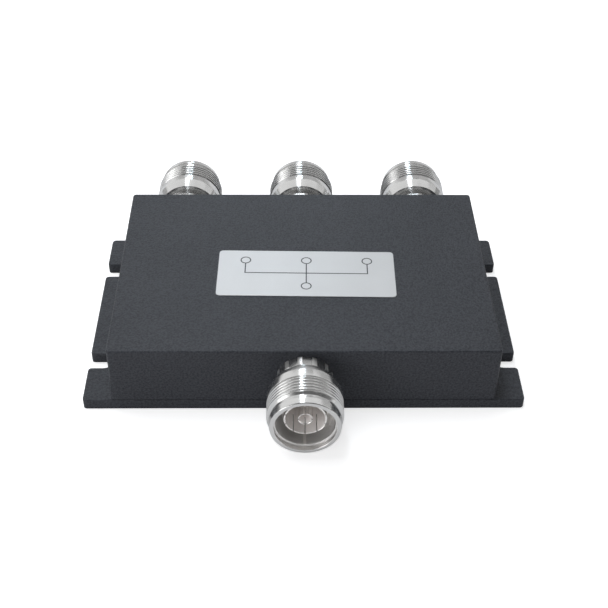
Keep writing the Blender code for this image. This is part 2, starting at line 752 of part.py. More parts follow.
remove_everything()
PARTS = new_collection("rf power splitter")
CUTTERS = new_collection("cutters")
port_frames = {name: port_frame(name, x, side) for name, x, side in port_places()}
build_housing(port_frames)
build_base_plate()
build_label()
build_jacks(port_frames)
build_stripline()
build_supports()
build_cover_seal()
build_cover_screws()
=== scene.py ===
import math

import bmesh
import bpy
from mathutils import Matrix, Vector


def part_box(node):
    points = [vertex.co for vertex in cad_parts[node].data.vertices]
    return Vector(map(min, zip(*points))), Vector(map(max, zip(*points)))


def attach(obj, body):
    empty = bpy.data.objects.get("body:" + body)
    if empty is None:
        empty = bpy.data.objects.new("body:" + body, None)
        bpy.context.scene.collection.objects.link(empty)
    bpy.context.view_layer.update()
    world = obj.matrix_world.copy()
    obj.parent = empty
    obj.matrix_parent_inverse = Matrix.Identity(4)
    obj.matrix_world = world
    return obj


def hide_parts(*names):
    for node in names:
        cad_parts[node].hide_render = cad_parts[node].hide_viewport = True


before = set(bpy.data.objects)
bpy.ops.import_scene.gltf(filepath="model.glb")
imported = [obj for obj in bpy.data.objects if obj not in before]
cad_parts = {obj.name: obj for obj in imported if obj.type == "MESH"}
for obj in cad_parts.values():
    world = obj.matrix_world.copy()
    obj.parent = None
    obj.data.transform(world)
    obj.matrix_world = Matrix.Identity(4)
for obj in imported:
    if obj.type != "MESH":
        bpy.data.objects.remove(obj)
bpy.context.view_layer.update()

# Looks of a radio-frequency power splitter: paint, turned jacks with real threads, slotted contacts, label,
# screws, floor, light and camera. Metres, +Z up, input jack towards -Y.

MM = 0.001
HOUSING_LOW, HOUSING_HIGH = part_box("housing")
PLATE_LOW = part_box("base_plate")[0]
LABEL_LOW, LABEL_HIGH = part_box("label")
JACK_LOW, JACK_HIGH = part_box("input_jack_body")
SLEEVE_LOW, SLEEVE_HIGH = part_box("input_jack_outer_contact")
SOCKET_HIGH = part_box("input_jack_centre_contact")[1]
SCREW_LOW, SCREW_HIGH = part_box("cover_screw_1")
PORTS = ("input_jack", "output_jack_1", "output_jack_2", "output_jack_3")
CLEARANCE = 0.3 * MM

# Camera, at the photograph's place and angle
CAMERA_PLACE = (-4.758 * MM, -247.344 * MM, 216.672 * MM)
CAMERA_PITCH = math.radians(40.3267)
CAMERA_YAW = math.radians(1.1824)
CAMERA_ROLL = math.radians(0.7329)
CAMERA_LENS = 66.80
CAMERA_SENSOR = 36
CAMERA_NEAR = 0.01

# Jack, along its axis: heights are measured outward from the housing's wall
FACE_HEIGHT = HOUSING_LOW.y - JACK_LOW.y
TAIL_HEIGHT = HOUSING_LOW.y - JACK_HIGH.y
WRENCH_LENGTH = 3.2 * MM
WRENCH_CHAMFER = 0.3 * MM
NECK_LENGTH = 1.5 * MM
COLLAR_CONE_LENGTH = 2.3 * MM
COLLAR_LENGTH = 2.45 * MM
RELIEF_LENGTH = 0.1 * MM
PILOT_LENGTH = 2 * MM
GROOVE_LENGTH = 1.85 * MM
COLLAR_BACK = WRENCH_LENGTH + NECK_LENGTH
COLLAR_SHOULDER = COLLAR_BACK + COLLAR_CONE_LENGTH
RELIEF_BACK = COLLAR_SHOULDER + COLLAR_LENGTH
THREAD_BACK = RELIEF_BACK + RELIEF_LENGTH
PILOT_BACK = FACE_HEIGHT - PILOT_LENGTH
THREAD_FRONT = PILOT_BACK - GROOVE_LENGTH

# Jack, radii
CREST_RADIUS = (JACK_HIGH.z - JACK_LOW.z) / 2
THREAD_PITCH = 1 * MM
THREAD_DEPTH = 0.56 * MM
THREAD_CREST_SHARE = 0.3
THREAD_ROOT_SHARE = 0.1
THREAD_LEAD_SLOPE = 1.4
THREAD_START = 0.4
ROOT_RADIUS = CREST_RADIUS - THREAD_DEPTH
COLLAR_RADIUS = CREST_RADIUS - 0.15 * MM
PILOT_RADIUS = CREST_RADIUS - 0.5 * MM
PILOT_TAPER = 0.3 * MM
RIM_CHAMFER = 0.2 * MM
GROOVE_RADIUS = COLLAR_RADIUS - 0.65 * MM
RELIEF_RADIUS = ROOT_RADIUS - 0.05 * MM
COLLAR_TAPER = 1.05 * MM
CAVITY_RADIUS = 7.55 * MM
MOUTH_RADIUS = 7.9 * MM
MOUTH_DEPTH = 1.6 * MM
WRENCH_FLATS = 12
WRENCH_RADIUS = 7.35 * MM
WRENCH_FLAT_RADIUS = 7.2 * MM
LAND_INNER_RADIUS = WRENCH_FLAT_RADIUS + 0.08 * MM
LAND_OUTER_RADIUS = WRENCH_RADIUS - 0.02 * MM
NECK_RADIUS = WRENCH_RADIUS - 0.4 * MM
BODY_CLOCKING = math.radians(9.4)
TAIL_RADIUS = 5.3 * MM
TAIL_BORE_RADIUS = 3.5 * MM

# Contacts and bead
CONTACT_TIP = HOUSING_LOW.y - SLEEVE_LOW.y
SEAT_FLOOR = HOUSING_LOW.y - SLEEVE_HIGH.y - CLEARANCE
PIN_END = HOUSING_LOW.y - SOCKET_HIGH.y
FINGER_LENGTH = 6.4 * MM
FINGER_ROOT = 0.5 * MM
FINGER_COUNT = 10
FINGER_SLOT_WIDTH = 0.35 * MM
CONTACT_FLOOR = CONTACT_TIP - FINGER_LENGTH
SLEEVE_BORE = 5 * MM
SLEEVE_WALL = 0.5 * MM
SLEEVE_FLANGE = 1.2 * MM
SOCKET_RADIUS = 1.95 * MM
SOCKET_BORE = 1.35 * MM
SOCKET_TIP_LAND = 0.3 * MM
SOCKET_LEAD = 0.6 * MM
SOCKET_SLOTS = 4
SOCKET_SLOT_LENGTH = 4.6 * MM
SOCKET_SLOT_WIDTH = 0.3 * MM
SOCKET_ROOT = 1 * MM
PIN_RADIUS = 1.52 * MM
FORK_DEPTH = 3.5 * MM
FORK_WIDTH = 1.8 * MM
BEAD_LENGTH = 4 * MM
INSULATOR_FLOOR = SEAT_FLOOR - BEAD_LENGTH - 2 * CLEARANCE

# Cover screws
SCREW_HEAD_RADIUS = (SCREW_HIGH.x - SCREW_LOW.x) / 2
SCREW_SHANK_RADIUS = 1.15 * MM
SCREW_KEY_SIDES = 6
SCREW_KEY_RADIUS = 1 * MM
SCREW_KEY_DEPTH = 0.9 * MM

# Marks on the label: one line that branches to three ports
LABEL_TURN = math.radians(-1)
MARK_SPREAD = 17 * MM
MARK_REACH = 5.6 * MM
MARK_PORT_RADIUS = 1.5 * MM
MARK_STROKE = 0.32 * MM
MARK_HEIGHT = 0.02 * MM

# Smoothness of the pieces
BODY_STEPS = 160
CONTACT_STEPS = 120
SCREW_STEPS = 48
THREAD_ROWS_PER_TURN = 20
ARC_STEPS = 3
EDGE_BREAK = 0.2 * MM
SHARP_ANGLE = math.radians(32)
ROUNDED_ANGLE = math.radians(50)
FLAT_ANGLE = math.radians(4)
SAME_POINT = 0.002 * MM
SQUARE_FACE = math.cos(math.radians(1))

# Colours: the darker and the lighter one of each finish
WHITE = (1, 1, 1, 1)
PAINT_COLOURS = ((0.009, 0.011, 0.015, 1), (0.056, 0.059, 0.069, 1))
PLATING_COLOURS = ((0.58, 0.58, 0.575, 1), (0.72, 0.72, 0.715, 1))
# Painted light: a pale colour for the plated bore, which brightens the shade inside the jack
PLATED_BORE_PAINTED_LIGHT_COLOUR = (0.88, 0.87, 0.86, 1)
SILVER_COLOURS = ((0.84, 0.82, 0.80, 1), (0.94, 0.92, 0.90, 1))
# Painted light: pale colours for the contacts' bores, which brighten the shade inside them
SILVER_BORE_PAINTED_LIGHT_COLOURS = ((0.86, 0.82, 0.80, 1), (0.94, 0.90, 0.88, 1))
BEAD_COLOURS = ((0.68, 0.66, 0.62, 1), (0.78, 0.77, 0.74, 1))
FILM_COLOURS = ((0.485, 0.492, 0.5, 1), (0.6, 0.606, 0.615, 1))
INK_COLOURS = ((0.030, 0.032, 0.036, 1), (0.060, 0.062, 0.066, 1))
STEEL_COLOURS = ((0.42, 0.42, 0.43, 1), (0.56, 0.56, 0.57, 1))
RUBBER_COLOURS = ((0.012, 0.012, 0.012, 1), (0.028, 0.028, 0.028, 1))
STRIP_COLOURS = ((0.72, 0.69, 0.63, 1), (0.86, 0.84, 0.79, 1))

# Soft edge where one finish passes into the next
MASK_BLUR = 0.1 * MM


# Shader maths

class Socket:
    """A node's output. Arithmetic on it adds Math nodes, so 1 - mask reads as it is written."""

    def __init__(self, finish, output):
        self.finish = finish
        self.output = output

    def math(self, operation, first, second):
        """A Math node. Each of the two operands is a socket or a number."""
        return self.finish.node("ShaderNodeMath", {"operation": operation}, {0: first, 1: second})

    def __add__(self, other):
        return self.math("ADD", self, other)

    def __radd__(self, other):
        return self.math("ADD", other, self)

    def __sub__(self, other):
        return self.math("SUBTRACT", self, other)

    def __rsub__(self, other):
        return self.math("SUBTRACT", other, self)

    def __mul__(self, other):
        return self.math("MULTIPLY", self, other)

    def __rmul__(self, other):
        return self.math("MULTIPLY", other, self)


class Finish:
    """A material, or the world, under construction. node() adds any node and returns one of its outputs."""

    def __init__(self, name, kind=bpy.data.materials):
        self.owner = kind.new(name)
        self.owner.use_nodes = True
        self.tree = self.owner.node_tree
        self.tree.nodes.clear()

    def node(self, kind, settings, sockets, output=0):
        """Settings are set first. Each socket gets a value, or a link where it is given another output."""
        node = self.tree.nodes.new(kind)
        for setting, value in settings.items():
            setattr(node, setting, value)
        for socket, value in sockets.items():
            if isinstance(value, Socket):
                self.tree.links.new(value.output, node.inputs[socket])
            else:
                node.inputs[socket].default_value = value
        return Socket(self, node.outputs[output])

    def place(self):
        """The point of the surface in the piece's own frame."""
        return self.node("ShaderNodeTexCoord", {}, {}, "Object")

    def height(self, place):
        """Distance along the piece's own Z axis."""
        return self.node("ShaderNodeSeparateXYZ", {}, {0: place}, "Z")

    def from_axis(self, place):
        """Distance from the piece's own Z axis."""
        across = self.node("ShaderNodeVectorMath", {"operation": "MULTIPLY"}, {0: place, 1: (1, 1, 0)})
        return self.node("ShaderNodeVectorMath", {"operation": "LENGTH"}, {0: across}, "Value")

    def noise(self, place, size, detail=2, roughness=0.5):
        """Smooth random values from 0 to 1 whose features have about the given size."""
        sockets = {"Vector": place, "Scale": 1 / size, "Detail": detail, "Roughness": roughness}
        return self.node("ShaderNodeTexNoise", {}, sockets)

    def step(self, value, low, high):
        """0 below low, 1 above high, and a smooth rise between."""
        settings = {"interpolation_type": "SMOOTHSTEP"}
        return self.node("ShaderNodeMapRange", settings, {"Value": value, "From Min": low, "From Max": high})

    def mix(self, factor, low, high):
        """A colour between two. The Mix node's colours are its sockets 6 and 7 and its output 2."""
        return self.node("ShaderNodeMix", {"data_type": "RGBA"}, {0: factor, 6: low, 7: high}, 2)

    def bump(self, height, depth):
        """A relief of the given depth, where its height goes from 0 to 1."""
        return self.node("ShaderNodeBump", {}, {"Strength": 1, "Distance": depth, "Height": height})

    def ray(self, kind):
        """1 on rays of the given kind, and 0 on others."""
        return self.node("ShaderNodeLightPath", {}, {}, kind)

    def surface(self, **sockets):
        """The Principled surface; names use _ for a space."""
        named = {name.replace("_", " "): value for name, value in sockets.items()}
        return self.show(self.node("ShaderNodeBsdfPrincipled", {}, named), "ShaderNodeOutputMaterial")

    def show(self, shader, kind):
        """Joins the shader to the output node and returns the finished material or world."""
        end = self.tree.nodes.new(kind)
        self.tree.links.new(shader.output, end.inputs["Surface"])
        return self.owner


# Finishes

def paint_finish():
    """Black powder paint: an even fine grain, satin, a little uneven in tone."""
    finish = Finish("black_paint")
    place = finish.place()
    grain = finish.step(finish.noise(place, size=0.55 * MM, detail=3, roughness=0.6), low=0.3, high=0.7)
    fine = finish.noise(place, size=0.16 * MM)
    cloud = finish.noise(place, size=25 * MM)
    tone = grain * 0.65 + cloud * 0.35
    return finish.surface(
        Base_Color=finish.mix(tone, *PAINT_COLOURS),
        Roughness=0.35 + 0.08 * grain + 0.06 * cloud,
        Specular_IOR_Level=0.22,
        Normal=finish.bump(grain + 0.5 * fine, depth=0.05 * MM),
    )


def plating_finish():
    """Bright turned plating: fine rings round the axis that draw the highlights out along it. The bore is
    less metallic and painted pale: painted light that brightens the shade inside the jack. The wrench
    section's lands are rougher than its flats."""
    finish = Finish("bright_plating")
    place = finish.place()
    height = finish.height(place)
    from_axis = finish.from_axis(place)
    rings = finish.node("ShaderNodeCombineXYZ", {}, {"Z": height})
    turning = finish.noise(rings, size=0.12 * MM, detail=3, roughness=0.7)
    cloud = finish.noise(place, size=3 * MM)
    inside = 1 - finish.step(from_axis, MOUTH_RADIUS + MASK_BLUR, MOUTH_RADIUS + 2 * MASK_BLUR)
    # Painted light: the bore gets a pale colour and less metal, which brightens the shade inside the jack
    bore = inside * finish.step(height, COLLAR_BACK, COLLAR_SHOULDER)
    wrench = 1 - finish.step(height, WRENCH_LENGTH - 2 * MASK_BLUR, WRENCH_LENGTH)
    land = finish.step(from_axis, LAND_INNER_RADIUS, LAND_OUTER_RADIUS)
    outside = finish.mix(turning * 0.7 + cloud * 0.3, *PLATING_COLOURS)
    return finish.surface(
        Base_Color=finish.mix(bore, outside, PLATED_BORE_PAINTED_LIGHT_COLOUR),
        Metallic=1 - 0.2 * bore,
        Roughness=0.17 + 0.05 * turning + 0.03 * cloud + wrench * (0.15 * land - 0.02),
        Anisotropic=0.9,
        Anisotropic_Rotation=0.25,
        Normal=finish.bump(turning, depth=0.002 * MM),
    )


def contact_finish(name, bore_radius, outer_radius):
    """Silver plate on a slotted contact: bright metal at its tip and outside. Its bore is matt, hardly
    metallic
    and painted pale: painted light that brightens the shade inside it."""
    finish = Finish(name)
    place = finish.place()
    cloud = finish.noise(place, size=1.5 * MM, detail=3)
    # Painted light: the bore gets a pale colour, hardly any metal and more roughness, which brightens the
    # shade inside it
    bore = 1 - finish.step(finish.from_axis(place), bore_radius, (bore_radius + outer_radius) / 2)
    bright = finish.mix(cloud, *SILVER_COLOURS)
    bore_painted_light = finish.mix(cloud, *SILVER_BORE_PAINTED_LIGHT_COLOURS)
    return finish.surface(
        Base_Color=finish.mix(bore, bright, bore_painted_light),
        Metallic=1 - 0.95 * bore,
        Roughness=0.18 + 0.08 * cloud + 0.3 * bore,
        Normal=finish.bump(cloud, depth=0.004 * MM),
    )


def bead_finish():
    """Machined white fluoroplastic with a faint fine grain."""
    finish = Finish("white_fluoroplastic")
    place = finish.place()
    cloud = finish.noise(place, size=2 * MM)
    fine = finish.noise(place, size=0.2 * MM)
    return finish.surface(
        Base_Color=finish.mix(cloud, *BEAD_COLOURS),
        Roughness=0.45 + 0.1 * cloud,
        Normal=finish.bump(fine, depth=0.004 * MM),
    )


def film_finish():
    """Silver-grey satin label film with a very fine metal grain."""
    finish = Finish("label_film")
    place = finish.place()
    grain = finish.noise(place, size=0.2 * MM)
    cloud = finish.noise(place, size=12 * MM)
    return finish.surface(
        Base_Color=finish.mix(grain * 0.5 + cloud * 0.5, *FILM_COLOURS),
        Metallic=0.25,
        Roughness=0.38 + 0.1 * grain,
        Normal=finish.bump(grain, depth=0.002 * MM),
    )


def ink_finish():
    """Dark grey printing ink."""
    finish = Finish("label_ink")
    grain = finish.noise(finish.place(), size=0.25 * MM)
    return finish.surface(
        Base_Color=finish.mix(grain, *INK_COLOURS),
        Roughness=0.5 + 0.1 * grain,
    )


def steel_finish():
    """Bright stainless steel, a little uneven."""
    finish = Finish("screw_steel")
    cloud = finish.noise(finish.place(), size=0.8 * MM, detail=3)
    return finish.surface(
        Base_Color=finish.mix(cloud, *STEEL_COLOURS),
        Metallic=1,
        Roughness=0.25 + 0.15 * cloud,
        Normal=finish.bump(cloud, depth=0.004 * MM),
    )


def rubber_finish():
    """Matt black moulded rubber."""
    finish = Finish("seal_rubber")
    cloud = finish.noise(finish.place(), size=0.6 * MM)
    return finish.surface(
        Base_Color=finish.mix(cloud, *RUBBER_COLOURS),
        Roughness=0.55 + 0.15 * cloud,
        Normal=finish.bump(cloud, depth=0.01 * MM),
    )


def strip_finish():
    """Silver-plated sheet conductor, warm and a little uneven."""
    finish = Finish("strip_metal")
    cloud = finish.noise(finish.place(), size=2 * MM, detail=4)
    return finish.surface(
        Base_Color=finish.mix(cloud, *STRIP_COLOURS),
        Metallic=1,
        Roughness=0.25 + 0.15 * cloud,
        Normal=finish.bump(cloud, depth=0.004 * MM),
    )


# Meshes

def mesh_from(name, shape):
    """A new mesh of the given name with the shape's faces. The shape is freed."""
    mesh = bpy.data.meshes.new(name)
    shape.to_mesh(mesh)
    shape.free()
    return mesh


def put_back(mesh, shape):
    """The mesh, rewritten from its edited shape, which is freed."""
    shape.to_mesh(mesh)
    shape.free()
    return mesh


def shape_of(mesh):
    """The mesh's shape, to be edited."""
    shape = bmesh.new()
    shape.from_mesh(mesh)
    return shape


def turned(name, outline, steps, closed=True):
    """A turned mesh about Z. The outline runs up its outer side, and each point is a height with a radius,
    or with a function that gives the radius at an angle. A shape that isn't closed ends on the axis."""
    shape = bmesh.new()
    rows = []
    for radius, height in outline:
        if radius == 0:
            rows.append([shape.verts.new((0, 0, height))] * steps)
            continue
        row = []
        for step in range(steps):
            angle = math.tau * step / steps
            reach = radius(angle) if callable(radius) else radius
            row.append(shape.verts.new((reach * math.cos(angle), reach * math.sin(angle), height)))
        rows.append(row)
    pairs = list(zip(rows, rows[1:]))
    if closed:
        pairs.append((rows[-1], rows[0]))
    for lower, upper in pairs:
        for step in range(steps):
            following = (step + 1) % steps
            corners = [lower[step], lower[following], upper[following], upper[step]]
            shape.faces.new(list(dict.fromkeys(corners)))
    return mesh_from(name, shape)


def eased(outline, reach, sharp=()):
    """The outline with small arcs at its corners, but for the sharp ones, its ends and those on the axis. An
    arc starts at the given reach from its corner, or at a third of the side where that is less."""
    points = [outline[0]]
    for before, corner, after in zip(outline, outline[1:], outline[2:]):
        if corner[0] == 0 or corner in sharp:
            points.append(corner)
            continue
        into = min(reach, math.dist(before, corner) / 3)
        out = min(reach, math.dist(corner, after) / 3)
        start = [c + (b - c) * into / math.dist(before, corner) for b, c in zip(before, corner)]
        end = [c + (a - c) * out / math.dist(corner, after) for a, c in zip(after, corner)]
        for step in range(ARC_STEPS + 1):
            share = step / ARC_STEPS
            weights = ((1 - share) ** 2, 2 * share * (1 - share), share ** 2)
            points.append(tuple(
                weights[0] * s + weights[1] * c + weights[2] * e for s, c, e in zip(start, corner, end)
            ))
    points.append(outline[-1])
    return points


def thread_rows():
    """Rows of a right-handed thread that rises from its root behind and ends in a chamfer in front, down to
    the groove."""
    length = THREAD_FRONT - THREAD_BACK + CREST_RADIUS - GROOVE_RADIUS
    count = round(length / THREAD_PITCH * THREAD_ROWS_PER_TURN)
    rows = []
    for row in range(count + 1):
        height = THREAD_BACK + length * row / count
        rows.append((lambda angle, height=height: thread_radius(angle, height), height))
    return rows


def thread_radius(angle, height):
    """Radius of the thread's surface. The way from a crest is 0 on the crest and 1 halfway to the next."""
    turn = (height - THREAD_BACK) / THREAD_PITCH - angle / math.tau - THREAD_START
    from_crest = abs((turn + 0.5) % 1 - 0.5) * 2
    flank = (from_crest - THREAD_CREST_SHARE) / (1 - THREAD_CREST_SHARE - THREAD_ROOT_SHARE)
    depth = THREAD_DEPTH * min(max(flank, 0), 1)
    lead = ROOT_RADIUS + (height - THREAD_BACK) * THREAD_LEAD_SLOPE
    chamfer = CREST_RADIUS + THREAD_FRONT - height
    return min(CREST_RADIUS - depth, lead, chamfer)


def box_mesh(name, placings):
    """Separate boxes in one mesh, each given by its size and its matrix."""
    shape = bmesh.new()
    for size, matrix in placings:
        bmesh.ops.create_cube(shape, size=1, matrix=matrix @ Matrix.Diagonal((*size, 1)))
    return mesh_from(name, shape)


def radial_slots(count, width, inner, outer, bottom, top):
    """Cutters for slots in a ring, the first of them on the +Y side."""
    centre = Matrix.Translation(((inner + outer) / 2, 0, (bottom + top) / 2))
    size = (outer - inner, width, top - bottom)
    turns = [Matrix.Rotation(math.pi / 2 + math.tau * index / count, 4, "Z") for index in range(count)]
    return box_mesh("slots", [(size, turn @ centre) for turn in turns])


def prism_mesh(name, sides, corner_radius, bottom, top):
    """A regular prism round the Z axis."""
    shape = bmesh.new()
    bmesh.ops.create_cone(
        shape, cap_ends=True, segments=sides, radius1=corner_radius, radius2=corner_radius,
        depth=top - bottom, matrix=Matrix.Translation((0, 0, (bottom + top) / 2)),
    )
    return mesh_from(name, shape)


def cut(mesh, *cutters):
    """The mesh with each cutter taken out of it in turn."""
    blank = bpy.data.objects.new(mesh.name, mesh)
    tools = [bpy.data.objects.new(cutter.name, cutter) for cutter in cutters]
    for obj in (blank, *tools):
        bpy.context.scene.collection.objects.link(obj)
    for tool in tools:
        boolean = blank.modifiers.new("cut", "BOOLEAN")
        boolean.operation = "DIFFERENCE"
        boolean.object = tool
    bpy.context.view_layer.update()
    evaluated = blank.evaluated_get(bpy.context.evaluated_depsgraph_get())
    result = bpy.data.meshes.new_from_object(evaluated)
    for obj in (blank, *tools):
        bpy.data.objects.remove(obj, do_unlink=True)
    return result


def shade(mesh, smooth_band=None, sharp_angle=SHARP_ANGLE):
    """Smooth shading with sharp corners, apart from a band of heights that is smooth throughout."""
    mesh.shade_smooth()
    mesh.set_sharp_from_angle(angle=sharp_angle)
    if smooth_band:
        low, high = smooth_band
        for edge in mesh.edges:
            heights = [mesh.vertices[index].co.z for index in edge.vertices]
            if low < min(heights) and max(heights) < high:
                edge.use_edge_sharp = False
    return mesh


def crisp(mesh, low, high, angle):
    """Marks the edges between two heights that turn by more than the angle as sharp."""
    shape = shape_of(mesh)
    for edge in shape.edges:
        heights = [corner.co.z for corner in edge.verts]
        if low < min(heights) and max(heights) < high and edge.calc_face_angle(0) > angle:
            edge.smooth = False
    return put_back(mesh, shape)


def keep_flats(mesh):
    """Marks the outlines of the faces that lie square to an axis as sharp, so that they are shaded flat."""
    shape = shape_of(mesh)
    for edge in shape.edges:
        square = {max(abs(part) for part in face.normal) > SQUARE_FACE for face in edge.link_faces}
        if len(square) > 1:
            edge.smooth = False
    return put_back(mesh, shape)


def new_piece(name, mesh, material, matrix, stands_for=None):
    """A visible piece on the root body, in the place of a node where it stands for one."""
    mesh.materials.clear()
    mesh.materials.append(material)
    piece = bpy.data.objects.new(name, mesh)
    bpy.context.scene.collection.objects.link(piece)
    piece.matrix_world = matrix
    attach(piece, "root")
    if stands_for:
        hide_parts(stands_for)
    return piece


# Jacks

def port_matrix(port):
    """A jack's own frame: its origin on the housing's wall, +Z outward and +Y up."""
    low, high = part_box(f"{port}_body")
    centre = (low + high) / 2
    at_back = centre.y > 0
    wall = HOUSING_HIGH.y if at_back else HOUSING_LOW.y
    turn = Matrix.Rotation(math.pi if at_back else 0, 4, "Z") @ Matrix.Rotation(math.pi / 2, 4, "X")
    return Matrix.Translation((centre.x, wall, centre.z)) @ turn


def jack_body_mesh():
    """Pilot, groove, thread, collar, neck and wrench section outside; mouth, cavity and seats inside."""
    seat_radius = SLEEVE_BORE + SLEEVE_FLANGE + CLEARANCE
    rim_radius = PILOT_RADIUS - PILOT_TAPER
    collar_edge = (COLLAR_RADIUS - COLLAR_TAPER, COLLAR_BACK)
    outline = [
        (GROOVE_RADIUS, THREAD_FRONT + CREST_RADIUS - GROOVE_RADIUS),
        (GROOVE_RADIUS, PILOT_BACK),
        (PILOT_RADIUS, PILOT_BACK),
        (rim_radius, FACE_HEIGHT - RIM_CHAMFER),
        (rim_radius - RIM_CHAMFER, FACE_HEIGHT),
        (MOUTH_RADIUS, FACE_HEIGHT),
        (MOUTH_RADIUS, FACE_HEIGHT - MOUTH_DEPTH),
        (CAVITY_RADIUS, FACE_HEIGHT - MOUTH_DEPTH),
        (CAVITY_RADIUS, CONTACT_FLOOR),
        (seat_radius, CONTACT_FLOOR),
        (seat_radius, SEAT_FLOOR),
        (SLEEVE_BORE, SEAT_FLOOR),
        (SLEEVE_BORE, INSULATOR_FLOOR),
        (TAIL_BORE_RADIUS, INSULATOR_FLOOR),
        (TAIL_BORE_RADIUS, TAIL_HEIGHT),
        (TAIL_RADIUS, TAIL_HEIGHT),
        (TAIL_RADIUS, 0),
        (WRENCH_RADIUS, 0),
        (WRENCH_RADIUS, WRENCH_LENGTH - WRENCH_CHAMFER),
        (NECK_RADIUS, WRENCH_LENGTH),
        (NECK_RADIUS, COLLAR_BACK),
        collar_edge,
        (COLLAR_RADIUS, COLLAR_SHOULDER),
        (COLLAR_RADIUS, RELIEF_BACK),
        (RELIEF_RADIUS, RELIEF_BACK),
        (RELIEF_RADIUS, THREAD_BACK),
    ]
    rows = eased(outline, EDGE_BREAK, [collar_edge])[:-1] + thread_rows()[:-1]
    body = turned("jack_body", rows, BODY_STEPS)
    below = -CLEARANCE
    above = WRENCH_LENGTH + NECK_LENGTH / 2
    ring = prism_mesh("wrench_blank", BODY_STEPS, CREST_RADIUS, below, above)
    corner_radius = WRENCH_FLAT_RADIUS / math.cos(math.pi / WRENCH_FLATS)
    core = prism_mesh("wrench_core", WRENCH_FLATS, corner_radius, below - CLEARANCE, above + CLEARANCE)
    body = cut(body, cut(ring, core))
    body.transform(Matrix.Rotation(BODY_CLOCKING, 4, "Z"))
    return crisp(shade(body, (THREAD_BACK, THREAD_FRONT)), below, above, FLAT_ANGLE)


def sleeve_mesh():
    """The spring contact: a sleeve split into ten fingers."""
    outer = SLEEVE_BORE + SLEEVE_WALL
    flange = SLEEVE_BORE + SLEEVE_FLANGE
    middle = SLEEVE_BORE + SLEEVE_WALL / 2
    outline = [
        (middle, CONTACT_TIP),
        (SLEEVE_BORE, CONTACT_TIP),
        (SLEEVE_BORE, SEAT_FLOOR + CLEARANCE),
        (flange, SEAT_FLOOR + CLEARANCE),
        (flange, CONTACT_FLOOR),
        (outer, CONTACT_FLOOR),
        (outer, CONTACT_TIP),
        (middle, CONTACT_TIP),
    ]
    sleeve = turned("outer_contact", eased(outline, EDGE_BREAK)[:-1], CONTACT_STEPS)
    slots = radial_slots(
        FINGER_COUNT, FINGER_SLOT_WIDTH, SLEEVE_BORE - CLEARANCE, outer + CLEARANCE,
        CONTACT_FLOOR + FINGER_ROOT, CONTACT_TIP + CLEARANCE,
    )
    return shade(cut(sleeve, slots))


def socket_mesh():
    """The centre contact: a split socket in front and a fork for the stripline behind."""
    bore_bottom = CONTACT_TIP - SOCKET_SLOT_LENGTH - SOCKET_ROOT
    outline = [
        (0, PIN_END),
        (PIN_RADIUS, PIN_END),
        (PIN_RADIUS, SEAT_FLOOR),
        (SOCKET_RADIUS, SEAT_FLOOR),
        (SOCKET_RADIUS, CONTACT_TIP),
        (SOCKET_RADIUS - SOCKET_TIP_LAND, CONTACT_TIP),
        (SOCKET_BORE, CONTACT_TIP - SOCKET_LEAD),
        (SOCKET_BORE, bore_bottom),
        (0, bore_bottom - SOCKET_BORE / 2),
    ]
    socket = turned("centre_contact", eased(outline, EDGE_BREAK), CONTACT_STEPS, closed=False)
    slots = radial_slots(
        SOCKET_SLOTS, SOCKET_SLOT_WIDTH, SOCKET_BORE / 2, SOCKET_RADIUS + CLEARANCE,
        CONTACT_TIP - SOCKET_SLOT_LENGTH, CONTACT_TIP + CLEARANCE,
    )
    fork_size = (2 * (PIN_RADIUS + CLEARANCE), FORK_WIDTH, FORK_DEPTH + CLEARANCE)
    fork_place = Matrix.Translation((0, 0, PIN_END + (FORK_DEPTH - CLEARANCE) / 2))
    fork = box_mesh("fork", [(fork_size, fork_place)])
    return shade(cut(socket, slots, fork))


def bead_mesh():
    """The bead that carries the centre contact."""
    outer = SLEEVE_BORE - CLEARANCE
    inner = PIN_RADIUS + CLEARANCE
    top = SEAT_FLOOR - CLEARANCE
    middle = (outer + inner) / 2
    outline = [
        (middle, top),
        (inner, top),
        (inner, top - BEAD_LENGTH),
        (outer, top - BEAD_LENGTH),
        (outer, top),
        (middle, top),
    ]
    return shade(turned("bead", eased(outline, EDGE_BREAK)[:-1], CONTACT_STEPS))


def build_jacks(plating, spring_silver, socket_silver, fluoroplastic):
    """The four jacks, which share their meshes."""
    body = jack_body_mesh()
    sleeve = sleeve_mesh()
    socket = socket_mesh()
    bead = bead_mesh()
    for port in PORTS:
        place = port_matrix(port)
        sleeve_node = f"{port}_outer_contact"
        socket_node = f"{port}_centre_contact"
        new_piece(f"{port}_threaded_body", body, plating, place, f"{port}_body")
        new_piece(f"{port}_spring_contact", sleeve, spring_silver, place, sleeve_node)
        new_piece(f"{port}_socket_contact", socket, socket_silver, place, socket_node)
        new_piece(f"{port}_bead", bead, fluoroplastic, place, f"{port}_insulator")


# Housing, plate, label and screws

def smooth_copy(node, name, material):
    """The node's own shape, its facets joined. Its roundings are shaded smooth and its flat faces flat."""
    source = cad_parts[node].data
    corners = [corner.co for corner in source.vertices]
    faces = [list(face.vertices) for face in source.polygons]
    mesh = bpy.data.meshes.new(name)
    mesh.from_pydata(corners, [], faces)
    shape = shape_of(mesh)
    bmesh.ops.remove_doubles(shape, verts=shape.verts, dist=SAME_POINT)
    put_back(mesh, shape)
    shade(mesh, sharp_angle=ROUNDED_ANGLE)
    return new_piece(name, keep_flats(mesh), material, Matrix.Identity(4), node)


